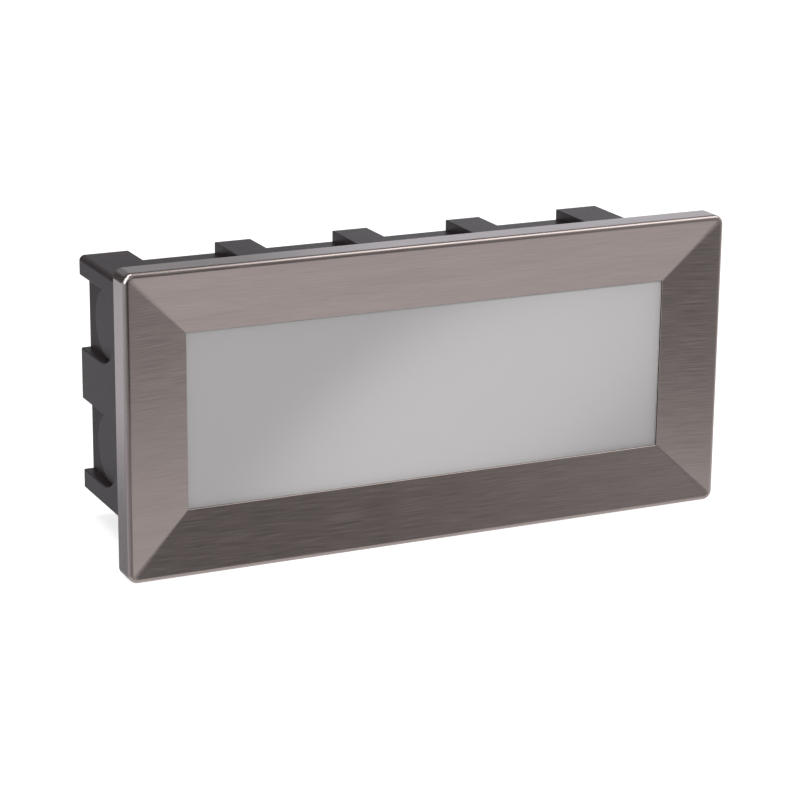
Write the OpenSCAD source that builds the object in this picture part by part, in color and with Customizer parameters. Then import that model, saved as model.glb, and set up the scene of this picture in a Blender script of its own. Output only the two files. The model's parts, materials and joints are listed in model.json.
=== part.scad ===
// Recessed wall light for outdoor walls: a ribbed box that is built into the brickwork,
// a lamp tray screwed inside it, and a steel cover with frosted glass that springs into its mouth.
// X is across the wall, +Y points into the wall, Z is up. Y = 0 is the face of the wall.

/* [Cover] */
// Width of the window in the cover
window_w = 184; // [120:1:260]
// Height of the window in the cover
window_h = 62.4; // [56:0.2:100]
// Strip of the border outside the box's lip, where the frame's nuts sit
nut_strip_w = 6.1; // [5.9:0.1:14]
// Depth from the raised edge of the cover down to the window
dish_depth = 3.4; // [1:0.1:6]
// Thickness of the steel sheet
sheet_t = 0.8; // [0.6:0.1:1.2]
// Radius of the cover's four corners, seen from the front
cover_corner_r = 3.5; // [3:0.5:12]
// Outer radius where the sheet rolls from the front to the side
edge_roll_r = 1.5; // [1.3:0.1:2.5]

/* [Glass and frame] */
// Thickness of the frosted glass
glass_t = 4; // [3:0.5:6]
// How far the glass reaches behind the border
glass_lap = 3; // [2:0.5:6]
// Thickness of the rubber between steel and glass
glass_gasket_t = 0.9; // [0.5:0.1:2]
// Wall of the moulded frame that holds the glass
frame_wall_t = 2; // [1.5:0.1:3]
// Thickness of the frame's flat plate
frame_plate_t = 2; // [1.5:0.1:3]
// Ledge behind the glass, across
ledge_w = 3.5; // [2:0.5:6]
// Ledge behind the glass, thickness
ledge_t = 2.5; // [1.5:0.5:4]
// Thickness of the foam seal between the frame and the box
seal_t = 1.6; // [1.2:0.1:4]
// Width of the foam seal
seal_w = 3.6; // [3:0.1:4]

/* [Box] */
// Depth of the box behind the face of the wall
box_depth = 65; // [64:0.2:90]
// Wall thickness of the moulding
wall_t = 2.5; // [2:0.1:3]
// Height of the ribs on the top and bottom
rib_rise = 4; // [3.4:0.1:6]
// Width of a rib
rib_w = 14; // [10:0.2:20]
// Distance from one rib to the next
rib_pitch = 46.5; // [30:0.5:66]
// Width of the ribs at the corners
corner_rib_w = 18.4; // [14:0.2:26]
// Depth of the pockets in the two ends
side_recess = 3.5; // [2:0.1:5]
// Height of the band above and below the pockets
edge_rib_w = 7.2; // [6:0.1:10]
// Length of a pocket, from the back of the box
pocket_l = 35; // [33:0.5:41]
// Diameter of a conduit knock-out
knockout_d = 25; // [16:0.5:26]
// Room between a knock-out and the rim of its pocket
knockout_edge = 0.8; // [0.4:0.1:2.5]
// How far a knock-out stands up from the floor of its pocket
knockout_rise = 1; // [0.4:0.1:1.5]
// Radius of the box's two upper long corners
box_corner_r = 2; // [1:0.1:4]
// Radius of the box's two lower long corners
box_foot_r = 0.8; // [0.4:0.1:3]
// How far the lip stands out round the mouth
lip_w = 2.2; // [2:0.1:4]
// Thickness of the lip
lip_t = 2; // [1.5:0.1:3]

/* [Lamp] */
// Depth of the reflector
reflector_depth = 24.8; // [16:0.2:30]
// Wall of the reflector
reflector_t = 1.5; // [1:0.1:2]
// Thickness of the lamp board
board_t = 1.6; // [1:0.1:2]
// Thickness of the tray
tray_t = 1.2; // [1:0.1:2]
// Lamps in a row
lamp_columns = 12; // [2:1:14]
// Rows of lamps
lamp_rows = 2; // [1:1:2]
// Height of the driver
driver_h = 34; // [28:1:44]
// Air between the driver and the back of the box
driver_rear_gap = 10.8; // [9:0.2:14]
// Room for the leads between the driver and the terminal block
wiring_gap = 20; // [17:0.5:30]

/* [Fastenings] */
// Distance between the wall fixings, across
fixing_x = 104; // [90:1:110]
// Distance between the wall fixings, up
fixing_z = 48; // [44:1:52]
// Diameter of a wall fixing hole
fixing_d = 4.5; // [3:0.1:5]
// Diameter of the hole in the cable grommet
cable_d = 7; // [5:0.5:9]
// Thickness of a spring clip
clip_t = 0.5; // [0.3:0.1:0.8]
// Length of a spring clip's bow
clip_bow_l = 24; // [18:0.5:28]

/* [Hidden] */
$fn = 64;

// Clearances and the overrun of a cut
over = 1;
seat_gap = 0.3;
glass_gap = 0.3;
shank_gap = 0.1;
mouth_gap = 0.3;
end_gap = 1.6;

// Half sizes seen from the front, as [across, up], from the window outwards
window_half = [window_w, window_h] / 2;
glass_half = window_half + [glass_lap, glass_lap];
ring_inner_half = glass_half + [glass_gap, glass_gap];
ring_half = ring_inner_half + [frame_wall_t, frame_wall_t];
cavity_half = ring_half + [end_gap, mouth_gap];
box_half = cavity_half + [wall_t + side_recess, wall_t + rib_rise];
core_half = box_half - [wall_t, wall_t];
lip_half = box_half + [lip_w, lip_w];
frame_rim_t = 1.5;
border_w = lip_half[1] - window_half[1] + nut_strip_w + frame_rim_t + seat_gap + sheet_t;
cover_half = window_half + [border_w, border_w];
cover_inner_half = cover_half - [sheet_t, sheet_t];
ridge_half = cover_half - [edge_roll_r, edge_roll_r];

// The stack of parts through the cover, worked forwards from the face of the wall
lip_front_y = -lip_t;
seal_front_y = lip_front_y - seat_gap - seal_t;
plate_front_y = seal_front_y - frame_plate_t;
cover_d = dish_depth + sheet_t - plate_front_y;
ridge_y = -cover_d;
window_y = ridge_y + dish_depth;
sheet_rear_y = window_y + sheet_t;
glass_front_y = sheet_rear_y + glass_gasket_t;
glass_rear_y = glass_front_y + glass_t;
ledge_rear_y = glass_rear_y + ledge_t;
box_floor_y = box_depth - wall_t;

// Ribs of the box, and the pockets in its ends
rib_xs = [-rib_pitch, 0, rib_pitch];
rib_core_w = rib_w - 2 * wall_t;
corner_rib_x = box_half[0] - corner_rib_w;
pocket_r = knockout_d / 2 + knockout_edge;
mid_rib_half = box_half[1] - edge_rib_w - 2 * pocket_r;
pocket_z = mid_rib_half + pocket_r;
pocket_mid_y = box_depth - pocket_l + pocket_r;
pocket_floor_x = box_half[0] - side_recess;
mouth_rear_y = box_depth - pocket_l - wall_t;
lip_corner_r = box_corner_r + lip_w;

// Frame behind the border
frame_half = cover_inner_half - [seat_gap, seat_gap];
frame_corner_r = cover_corner_r - sheet_t - seat_gap;
frame_rim_front_y = ridge_y + sheet_t + seat_gap;
seal_half = lip_half - [seat_gap, seat_gap];

// Studs welded to the back of the border, and their nuts
stud_r = 1.25;
stud_x_share = 0.435;
stud_x = window_w * stud_x_share;
stud_xs = [-stud_x, 0, stud_x];
stud_z = (seal_half[1] + frame_half[1] - frame_rim_t) / 2;
stud_nut_r = 2.8;
stud_nut_t = 1.7;
stud_tail = 0.2;

// Spring clips
clip_side_gap = 0.6;
clip_w = rib_core_w - 2 * clip_side_gap;
clip_z = ring_half[1];
clip_foot_l = 10;
clip_foot_y = ledge_rear_y;
clip_rise = core_half[1] - seat_gap - clip_z;
clip_sagitta = clip_rise - clip_t;
clip_bow_r = (pow(clip_bow_l / 2, 2) + pow(clip_sagitta, 2)) / (2 * clip_sagitta);
clip_bow_y = clip_foot_y + clip_foot_l + clip_bow_l / 2;
tongue_margin = 2;
tongue_w = clip_w + 2 * tongue_margin;
tongue_l = clip_foot_l + tongue_margin;
rivet_r = 1.25;
rivet_head_r = 2.2;
rivet_head_t = 0.8;
rivet_y = clip_foot_y + clip_foot_l / 2;

// Lamp tray, board and reflector, each set in from the piece round it by [across, up]
tray_gap = [2.9, 4];
reflector_inset = [3, 1];
reflector_taper = [13, 13.5];
board_inset = [4, 3.5];
lamp_window_inset = [6, 6.5];
board_screw_inset = [3, 3];
pillar_inset = [6, 5.5];
reflector_front_y = ledge_rear_y + 2 * seat_gap;
board_front_y = reflector_front_y + reflector_depth;
tray_front_y = board_front_y + board_t;
tray_rear_y = tray_front_y + tray_t;
tray_half = cavity_half - tray_gap;
tray_corner_r = 3;
tray_fold_d = 8;
tray_fold_end = 12;
reflector_half = tray_half - reflector_inset;
reflector_lip_w = 0.8;
reflector_floor_half = reflector_half - reflector_taper;
board_half = reflector_floor_half - board_inset;
board_corner_r = 0.8;
lamp_window_half = board_half - lamp_window_inset;
lamp_l = 3.5;
lamp_w = 2.8;
lamp_t = 0.7;
lamp_pitch_x = 2 * (lamp_window_half[0] - lamp_l) / (lamp_columns - 1);
lamp_pitch_z = lamp_window_half[1];
board_screw_at = board_half - board_screw_inset;

// Screws: radius of the shank, radius and height of the head, width of the cross recess
small_screw_r = 1.25;
small_head_r = 2.4;
small_head_t = 1.5;
tray_screw_r = 1.5;
tray_head_r = 2.9;
tray_head_t = 2;
tray_screw_l = 10;
recess_w = 0.8;

// Pillars that carry the tray
pillar_r = 4;
pillar_at = tray_half - pillar_inset;
pillar_web_t = 2;
pillar_web_root = 0.3;

// Cable entry in the back of the box
grommet_end_x = 34;
grommet_z = -12;
grommet_at = [box_half[0] - grommet_end_x, grommet_z];
grommet_collar_w = 4;
grommet_flange_w = 2.5;
grommet_flange_t = 2;
grommet_recess_gap = 1;
grommet_hole_r = cable_d / 2 + grommet_collar_w;
grommet_flange_r = grommet_hole_r + grommet_flange_w;
grommet_recess_r = grommet_flange_r + grommet_recess_gap;
grommet_web_y = box_floor_y - grommet_flange_t - seat_gap;

// Cord clamp above the cable entry
cord_clamp_z = 14;
cord_clamp_reach = 6.5;
cord_clamp_dx = cable_d / 2 + cord_clamp_reach;
cord_clamp_boss_r = 4;
cord_clamp_half = cord_clamp_dx + cord_clamp_boss_r;
cord_clamp_room = 1;
cord_clamp_w = 8;
cord_clamp_t = 4;
cord_clamp_y = box_floor_y - cable_d - cord_clamp_room;
cord_screw_l = 10;

// Terminal block on the floor of the box, beside the cord clamp
block_gap = 8.2;
pole_pitch = 11;
pole_w = 8.4;
pole_corner_r = 0.8;
pole_zs = [-pole_pitch, 0, pole_pitch];
block_w = 17;
block_d = 14;
block_base_t = 4;
block_corner_r = 1.2;
block_x = grommet_at[0] - cord_clamp_half - block_gap - block_w / 2;
block_front_y = box_floor_y - block_d;
clamp_l = 13;
clamp_w = 5.6;
clamp_d = 6;
clamp_bore_r = 1.5;
clamp_y = box_floor_y - block_base_t - clamp_d / 2;
clamp_screw_r = 1.3;
clamp_screw_dx = 3.6;
clamp_screw_sink = 0.8;
clamp_slot_w = 0.4;
block_fixing_r = 1.2;
block_fixing_head_r = 2;
block_fixing_head_t = 1.4;

// Driver on the back of the tray, in what room the terminal block leaves
driver_end_gap = 17.7;
driver_x0 = driver_end_gap - tray_half[0];
driver_x1 = block_x - block_w / 2 - wiring_gap;
driver_l = driver_x1 - driver_x0;
driver_d = box_floor_y - driver_rear_gap - tray_rear_y;
driver_lid_t = 2;
driver_lid_y = tray_rear_y + driver_d - driver_lid_t;
driver_corner_r = 2;
driver_wall_t = 1.6;
driver_floor_t = 2;
ear_l = 8;
ear_w = 10;
ear_t = 2;
driver_screw_l = ear_t + tray_t * 3 / 4;

// Leads inside the box
lead_r = 1.1;
lead_bend_r = 3;
lead_depth_share = 0.65;
lead_y = tray_rear_y + (driver_lid_y - tray_rear_y) * lead_depth_share;
lead_mid_x = driver_x1 + wiring_gap / 2;
led_lead_r = 0.7;
led_lead_z = 9;
led_lead_run = 7;
led_lead_x = driver_x0 - led_lead_run;
led_lead_y = board_front_y + board_t / 2;
led_lead_hole_r = 2.2;

// Earth tag on the back of the tray
tag_x_share = 0.7;
tag_x = driver_x1 + wiring_gap * tag_x_share;
tag_t = 0.8;
tag_palm_r = 3.4;
tag_screw_z = -7;
tag_barrel_r = 1.7;
tag_barrel_l = 6;

steel = "#9a9190";
black = "#3a383b";

// Extrudes a flat outline, drawn as [across, up], from depth y0 to depth y1
module through(y0, y1) {
    translate([0, y1, 0]) rotate([90, 0, 0]) linear_extrude(y1 - y0) children();
}

// A rectangle of the half sizes given, with round corners
module round_rect(half, r) {
    square([2 * half[0], 2 * (half[1] - r)], center = true);
    square([2 * (half[0] - r), 2 * half[1]], center = true);
    for (x = [-1, 1], z = [-1, 1])
        translate([x * (half[0] - r), z * (half[1] - r)]) circle(r);
}

module plain_rect(half) {
    square(2 * half, center = true);
}

// A round bar or cutter along Y at a place seen from the front
module rod(at, r, y0, y1) {
    translate([at[0], y1, at[1]]) rotate([90, 0, 0])
        cylinder(r = r, h = y1 - y0);
}

// A cutter along Y for a hole that runs out of both faces of what it pierces
module hole(at, r, y0, y1) {
    rod(at, r, y0 - over, y1 + over);
}

// The four places that mirror one corner place
function corners(at) = [for (x = [-1, 1], z = [-1, 1]) [x * at[0], z * at[1]]];

// A pan-head screw driven along +Y, with its head in front of y
module screw(at, y, shank_r, length, head_r, head_t) {
    difference() {
        union() {
            rod(at, head_r, y - head_t, y);
            rod(at, shank_r, y - head_t / 2, y + length);
        }
        for (turn = [0, 90])
            translate([at[0], y - head_t, at[1]]) rotate([0, turn, 0])
                cube([1.3 * head_r, head_t, recess_w], center = true);
    }
}

// The same screw driven along -Y, for what is fixed from behind
module back_screw(at, y, shank_r, length, head_r, head_t) {
    mirror([0, 1, 0]) screw(at, -y, shank_r, length, head_r, head_t);
}

// Outline of the box with its ribs, seen from the front
module box_outline() {
    intersection() {
        union() {
            round_rect(box_half, box_corner_r);
            translate([0, -box_half[1] / 2]) round_rect([box_half[0], box_half[1] / 2], box_foot_r);
        }
        union() {
            plain_rect([box_half[0], box_half[1] - rib_rise]);
            for (x = rib_xs)
                translate([x, 0]) plain_rect([rib_w / 2, box_half[1]]);
            for (side = [-1, 1])
                translate([side * (box_half[0] - corner_rib_w / 2), 0])
                    plain_rect([corner_rib_w / 2, box_half[1]]);
        }
    }
}

// Hollow of the box behind the pockets' front ends, with every rib cored to the wall thickness
module cavity_outline() {
    plain_rect(cavity_half);
    for (x = rib_xs)
        translate([x, 0]) plain_rect([rib_core_w / 2, core_half[1]]);
    plain_rect([core_half[0], mid_rib_half - wall_t]);
    for (x = [-1, 1], z = [-1, 1]) {
        corner_core_x = corner_rib_x + wall_t;
        edge_core_z = box_half[1] - edge_rib_w + wall_t;
        translate([x * (corner_core_x + cavity_half[0]) / 2, z * core_half[1] / 2])
            plain_rect([(cavity_half[0] - corner_core_x) / 2, core_half[1] / 2]);
        translate([x * (corner_core_x + core_half[0]) / 2, z * (edge_core_z + core_half[1]) / 2])
            plain_rect([(core_half[0] - corner_core_x) / 2, (core_half[1] - edge_core_z) / 2]);
    }
}

// Hollow of the box in front of the pockets, out to the end walls
module mouth_outline() {
    cavity_outline();
    plain_rect([core_half[0], cavity_half[1]]);
    for (x = [-1, 1])
        translate([x * (corner_rib_x + wall_t + core_half[0]) / 2, 0])
            plain_rect([(core_half[0] - corner_rib_x - wall_t) / 2, core_half[1]]);
}

// A U-shaped pocket in one end, open at the back, that leaves its knock-out standing as a low disc
// on the centre of the round end
module end_pocket(side, up) {
    translate([side * pocket_floor_x, 0, up * pocket_z]) mirror([side < 0 ? 1 : 0, 0, 0])
        difference() {
            union() {
                translate([0, pocket_mid_y, 0]) rotate([0, 90, 0])
                    cylinder(r = pocket_r, h = side_recess + over);
                translate([0, pocket_mid_y, -pocket_r])
                    cube([side_recess + over, box_depth - pocket_mid_y + over, 2 * pocket_r]);
            }
            translate([-over, pocket_mid_y, 0]) rotate([0, 90, 0])
                cylinder(r = knockout_d / 2, h = over + knockout_rise);
        }
}

// The round hollow behind a knock-out, which leaves only a thin web round its rim to break
module knockout_hollow(side, up) {
    translate([side * cavity_half[0], pocket_mid_y, up * pocket_z]) rotate([0, 90, 0])
        cylinder(r = knockout_d / 2, h = 2 * knockout_rise, center = true);
}

// A boss for a tray screw, with a web to the end wall
module pillar(at) {
    side = sign(at[0]);
    web_l = cavity_half[0] + pillar_web_root - abs(at[0]);
    rod(at, pillar_r, tray_rear_y, box_floor_y + wall_t / 2);
    translate([at[0] + side * web_l / 2, 0, at[1]])
        through(tray_rear_y + pillar_r, box_floor_y + wall_t / 2) plain_rect([web_l, pillar_web_t] / 2);
}

function cord_clamp_places() = [for (x = [-1, 1]) [grommet_at[0] + x * cord_clamp_dx, cord_clamp_z]];
function block_fixing_places() = [for (z = [-1, 1]) [block_x, z * pole_pitch / 2]];

// Moulded box: ribbed outside, cored inside, with pillars, bosses and a recessed cable entry
module mounting_box() {
    color(black) difference() {
        union() {
            difference() {
                union() {
                    through(0, box_depth) box_outline();
                    through(lip_front_y, 0) round_rect(lip_half, lip_corner_r);
                }
                through(lip_front_y - over, mouth_rear_y) mouth_outline();
                through(mouth_rear_y - over, box_floor_y) cavity_outline();
                for (side = [-1, 1], up = [-1, 1]) knockout_hollow(side, up);
            }
            for (at = corners(pillar_at)) pillar(at);
            rod(grommet_at, grommet_recess_r + wall_t, grommet_web_y, box_floor_y);
            for (at = cord_clamp_places()) rod(at, cord_clamp_boss_r, cord_clamp_y, box_floor_y);
        }
        for (side = [-1, 1], up = [-1, 1]) end_pocket(side, up);
        for (at = corners(pillar_at)) hole(at, tray_screw_r + shank_gap, tray_rear_y, box_floor_y - wall_t);
        for (at = corners([fixing_x, fixing_z] / 2)) hole(at, fixing_d / 2, box_floor_y, box_depth);
        rod(grommet_at, grommet_recess_r, grommet_web_y + wall_t, box_depth + over);
        hole(grommet_at, grommet_hole_r, grommet_web_y, box_depth);
        for (at = cord_clamp_places()) rod(at, small_screw_r + shank_gap, cord_clamp_y - over, box_floor_y);
        for (at = block_fixing_places())
            rod(at, block_fixing_r + shank_gap, box_floor_y - over, box_floor_y + wall_t * 2 / 3);
    }
}

// Rubber grommet: two flanges either side of the recessed wall, and a collar through it
module cable_grommet() {
    web_rear_y = grommet_web_y + wall_t;
    flange_rear_y = web_rear_y + grommet_flange_t;
    color("#262527") difference() {
        union() {
            rod(grommet_at, grommet_flange_r, web_rear_y, flange_rear_y);
            rod(grommet_at, grommet_hole_r, grommet_web_y, web_rear_y);
            rod(grommet_at, grommet_flange_r, grommet_web_y - grommet_flange_t, grommet_web_y);
        }
        hole(grommet_at, cable_d / 2, grommet_web_y - grommet_flange_t, flange_rear_y);
    }
}

// Bar across the two bosses, hollowed where it presses on the cable
module cord_clamp() {
    bar_y = cord_clamp_y - cord_clamp_t;
    color(black) difference() {
        translate([grommet_at[0] - cord_clamp_half, bar_y, cord_clamp_z - cord_clamp_w / 2])
            cube([2 * cord_clamp_half, cord_clamp_t, cord_clamp_w]);
        translate([grommet_at[0], cord_clamp_y + cable_d / 4, cord_clamp_z])
            cylinder(r = cable_d / 2, h = cord_clamp_w + 2 * over, center = true);
        for (at = cord_clamp_places()) hole(at, small_screw_r + shank_gap, bar_y, cord_clamp_y);
    }
}

module cord_clamp_screws() {
    color("silver") for (at = cord_clamp_places())
        screw(at, cord_clamp_y - cord_clamp_t, small_screw_r, cord_screw_l, small_head_r, small_head_t);
}

// Three-pole terminal block: a base strip with a tower for each pole
module terminal_block() {
    tower_half = [block_w, pole_w] / 2;
    color("white") difference() {
        union() {
            translate([block_x, 0, 0]) through(box_floor_y - block_base_t, box_floor_y)
                round_rect([block_w / 2, pole_pitch + pole_w / 2], block_corner_r);
            for (z = pole_zs)
                translate([block_x, 0, z]) through(block_front_y, box_floor_y - block_base_t / 2)
                    round_rect(tower_half, pole_corner_r);
        }
        for (z = pole_zs) {
            translate([block_x, clamp_y, z])
                cube([block_w + 2 * over, clamp_d + 2 * shank_gap, clamp_w + 2 * shank_gap], center = true);
            for (x = [-1, 1])
                rod([block_x + x * clamp_screw_dx, z], clamp_screw_r + 2 * shank_gap,
                    block_front_y - over, clamp_y);
        }
        for (at = block_fixing_places()) {
            hole(at, block_fixing_r + shank_gap, block_front_y, box_floor_y);
            rod(at, block_fixing_head_r + 2 * shank_gap, block_front_y - over, box_floor_y - block_base_t);
        }
    }
}

// Brass clamps inside the towers, with the wire hole from end to end
module terminal_clamps() {
    color("goldenrod") for (z = pole_zs) difference() {
        translate([block_x, clamp_y, z]) cube([clamp_l, clamp_d, clamp_w], center = true);
        translate([block_x, clamp_y, z]) rotate([0, 90, 0])
            cylinder(r = clamp_bore_r, h = clamp_l + 2 * over, center = true);
        for (x = [-1, 1])
            rod([block_x + x * clamp_screw_dx, z], clamp_screw_r + shank_gap, clamp_y - clamp_d, clamp_y);
    }
}

// Slotted clamp screws, whose tips end in the wire holes
module terminal_screws() {
    tip_y = clamp_y - clamp_bore_r / 2;
    color("silver") for (z = pole_zs, x = [-1, 1]) difference() {
        rod([block_x + x * clamp_screw_dx, z], clamp_screw_r, block_front_y + clamp_screw_sink, tip_y);
        translate([block_x + x * clamp_screw_dx, block_front_y + clamp_screw_sink, z])
            cube([3 * clamp_screw_r, clamp_screw_r, clamp_slot_w], center = true);
    }
}

module terminal_fixings() {
    color("silver") for (at = block_fixing_places())
        screw(at, box_floor_y - block_base_t, block_fixing_r, block_base_t + wall_t / 2,
            block_fixing_head_r, block_fixing_head_t);
}

function driver_screw_places() = [[driver_x0 - ear_l / 2, 0], [driver_x1 + ear_l / 2, 0]];

// Folded steel tray that carries the lamp board in front and the driver behind
module gear_tray() {
    fold_half = tray_half[0] - tray_fold_end;
    color("whitesmoke") difference() {
        union() {
            through(tray_front_y, tray_rear_y) round_rect(tray_half, tray_corner_r);
            for (up = [-1, 1])
                translate([-fold_half, tray_front_y, up > 0 ? tray_half[1] - tray_t : -tray_half[1]])
                    cube([2 * fold_half, tray_fold_d, tray_t]);
        }
        for (at = corners(pillar_at)) hole(at, tray_screw_r + shank_gap, tray_front_y, tray_rear_y);
        for (at = concat(corners(board_screw_at), driver_screw_places(), [[tag_x, tag_screw_z]]))
            hole(at, small_screw_r + shank_gap, tray_front_y, tray_rear_y);
        for (z = [-led_lead_z, led_lead_z]) hole([led_lead_x, z], led_lead_hole_r, tray_front_y, tray_rear_y);
    }
}

module tray_screws() {
    color("silver") for (at = corners(pillar_at))
        screw(at, tray_front_y, tray_screw_r, tray_screw_l, tray_head_r, tray_head_t);
}

module led_board() {
    color("white") difference() {
        through(board_front_y, tray_front_y) round_rect(board_half, board_corner_r);
        for (at = corners(board_screw_at)) hole(at, small_screw_r + shank_gap, board_front_y, tray_front_y);
    }
}

module leds() {
    color("gold") for (i = [0 : lamp_columns - 1], j = [0 : lamp_rows - 1])
        translate([(i - (lamp_columns - 1) / 2) * lamp_pitch_x, board_front_y - lamp_t / 2,
            (j - (lamp_rows - 1) / 2) * lamp_pitch_z])
            cube([lamp_l, lamp_t, lamp_w], center = true);
}

module board_screws() {
    color("silver") for (at = corners(board_screw_at))
        screw(at, board_front_y - reflector_t, small_screw_r, reflector_t + board_t + tray_t,
            small_head_r, small_head_t);
}

// A block that narrows evenly from one rectangle to another
module taper(half0, y0, half1, y1) {
    thin = over / 100;
    hull() {
        through(y0, y0 + thin) plain_rect(half0);
        through(y1 - thin, y1) plain_rect(half1);
    }
}

// White reflector pan with a turned lip at the front and a slot over the lamps
module reflector() {
    wall = [reflector_t, reflector_t];
    floor_y = board_front_y - reflector_t;
    color("white") difference() {
        union() {
            taper(reflector_half, reflector_front_y, reflector_floor_half, board_front_y);
            through(reflector_front_y, reflector_front_y + reflector_t)
                round_rect(reflector_half + [reflector_lip_w, reflector_lip_w], tray_corner_r / 2);
        }
        taper(reflector_half - wall, reflector_front_y - over / 100, reflector_floor_half - wall, floor_y);
        through(floor_y - over, board_front_y + over) plain_rect(lamp_window_half);
        for (at = corners(board_screw_at)) hole(at, small_screw_r + shank_gap, floor_y, board_front_y);
    }
}

// Driver case: an open tub with a fixing ear at each end
module driver_case() {
    mid_x = (driver_x0 + driver_x1) / 2;
    color("#2f2e30") difference() {
        union() {
            translate([mid_x, 0, 0]) through(tray_rear_y, driver_lid_y)
                round_rect([driver_l, driver_h] / 2, driver_corner_r);
            translate([mid_x, 0, 0]) through(tray_rear_y, tray_rear_y + ear_t)
                round_rect([driver_l / 2 + ear_l, ear_w / 2], driver_corner_r);
        }
        translate([mid_x, 0, 0]) through(tray_rear_y + driver_floor_t, driver_lid_y + over)
            plain_rect([driver_l, driver_h] / 2 - [driver_wall_t, driver_wall_t]);
        for (at = driver_screw_places()) hole(at, small_screw_r + shank_gap, tray_rear_y, tray_rear_y + ear_t);
    }
}

// Lid with a spigot that drops inside the case
module driver_lid() {
    spigot_gap = driver_wall_t + shank_gap;
    color("#2f2e30") translate([(driver_x0 + driver_x1) / 2, 0, 0]) {
        through(driver_lid_y, driver_lid_y + driver_lid_t)
            round_rect([driver_l, driver_h] / 2, driver_corner_r);
        through(driver_lid_y - driver_lid_t, driver_lid_y)
            plain_rect([driver_l, driver_h] / 2 - [spigot_gap, spigot_gap]);
    }
}

module driver_screws() {
    color("silver") for (at = driver_screw_places())
        back_screw(at, tray_rear_y + ear_t, small_screw_r, driver_screw_l, small_head_r, small_head_t);
}

// Ring tag with its crimped barrel turned up to meet the lead
module earth_tag() {
    color("silver") difference() {
        union() {
            rod([tag_x, tag_screw_z], tag_palm_r, tray_rear_y, tray_rear_y + tag_t);
            translate([tag_x - tag_barrel_r, tray_rear_y, tag_screw_z])
                cube([2 * tag_barrel_r, tag_t, -tag_screw_z]);
            rod([tag_x, 0], tag_barrel_r, tray_rear_y, tray_rear_y + tag_barrel_l);
        }
        hole([tag_x, tag_screw_z], small_screw_r + shank_gap, tray_rear_y, tray_rear_y + tag_t);
    }
}

module earth_screw() {
    color("goldenrod") back_screw([tag_x, tag_screw_z], tray_rear_y + tag_t, small_screw_r,
        tag_t + tray_t * 3 / 4, small_head_r, small_head_t);
}

// A quarter bend of a lead in the plane of X and Y, about the centre given, from angle a to a + 90
module lead_bend(at, z, r, a) {
    translate([at[0], at[1], z]) rotate([0, 0, a])
        rotate_extrude(angle = 90) translate([lead_bend_r, 0]) circle(r, $fn = 24);
}

module lead_across(x0, x1, y, z, r) {
    translate([x0, y, z]) rotate([0, 90, 0]) cylinder(r = r, h = x1 - x0, $fn = 24);
}

module lead_along(x, y0, y1, z, r) {
    translate([x, y0, z]) rotate([-90, 0, 0]) cylinder(r = r, h = y1 - y0, $fn = 24);
}

// Lead from the terminal block to the driver's end: across, forwards, across
module supply_lead(z) {
    block_end_x = block_x - clamp_l / 2;
    lead_across(lead_mid_x + lead_bend_r, block_end_x, clamp_y, z, lead_r);
    lead_bend([lead_mid_x + lead_bend_r, clamp_y - lead_bend_r], z, lead_r, 90);
    lead_along(lead_mid_x, lead_y + lead_bend_r, clamp_y - lead_bend_r, z, lead_r);
    lead_bend([lead_mid_x - lead_bend_r, lead_y + lead_bend_r], z, lead_r, 270);
    lead_across(driver_x1, lead_mid_x - lead_bend_r, lead_y, z, lead_r);
}

module live_lead() {
    color("saddlebrown") supply_lead(pole_pitch);
}

module neutral_lead() {
    color("royalblue") supply_lead(-pole_pitch);
}

module earth_lead() {
    color("olivedrab") {
        lead_across(tag_x + lead_bend_r, block_x - clamp_l / 2, clamp_y, 0, lead_r);
        lead_bend([tag_x + lead_bend_r, clamp_y - lead_bend_r], 0, lead_r, 90);
        lead_along(tag_x, tray_rear_y + tag_barrel_l, clamp_y - lead_bend_r, 0, lead_r);
    }
}

// Two leads from the driver through the tray to the edge of the lamp board
module led_leads() {
    color("#333333") for (z = [-led_lead_z, led_lead_z]) {
        lead_across(led_lead_x + lead_bend_r, driver_x0, lead_y, z, led_lead_r);
        lead_bend([led_lead_x + lead_bend_r, lead_y - lead_bend_r], z, led_lead_r, 90);
        lead_along(led_lead_x, led_lead_y + lead_bend_r, lead_y - lead_bend_r, z, led_lead_r);
        lead_bend([led_lead_x + lead_bend_r, led_lead_y + lead_bend_r], z, led_lead_r, 180);
        lead_across(led_lead_x + lead_bend_r, -board_half[0], led_lead_y, z, led_lead_r);
    }
}

// The hollow in front of the sloping border, carried forwards past the ridge by the overrun
module dish(shift) {
    ahead = sheet_t + over;
    run_share = (border_w - edge_roll_r) / dish_depth;
    ahead_half = ridge_half + [ahead, ahead] * run_share;
    translate([0, shift, 0]) taper(ahead_half, ridge_y - ahead, window_half, window_y);
}

// Section of the side flange and its rolled edge, drawn as [outwards, backwards]
module rim_section() {
    difference() {
        union() {
            intersection() {
                translate([-edge_roll_r, edge_roll_r]) circle(edge_roll_r);
                translate([-edge_roll_r, 0]) square(edge_roll_r);
            }
            translate([-edge_roll_r, edge_roll_r]) square([edge_roll_r, cover_d - edge_roll_r]);
        }
        translate([-edge_roll_r, edge_roll_r]) circle(edge_roll_r - sheet_t);
        translate([-edge_roll_r - over, edge_roll_r]) square([edge_roll_r + over - sheet_t, cover_d]);
    }
}

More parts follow.
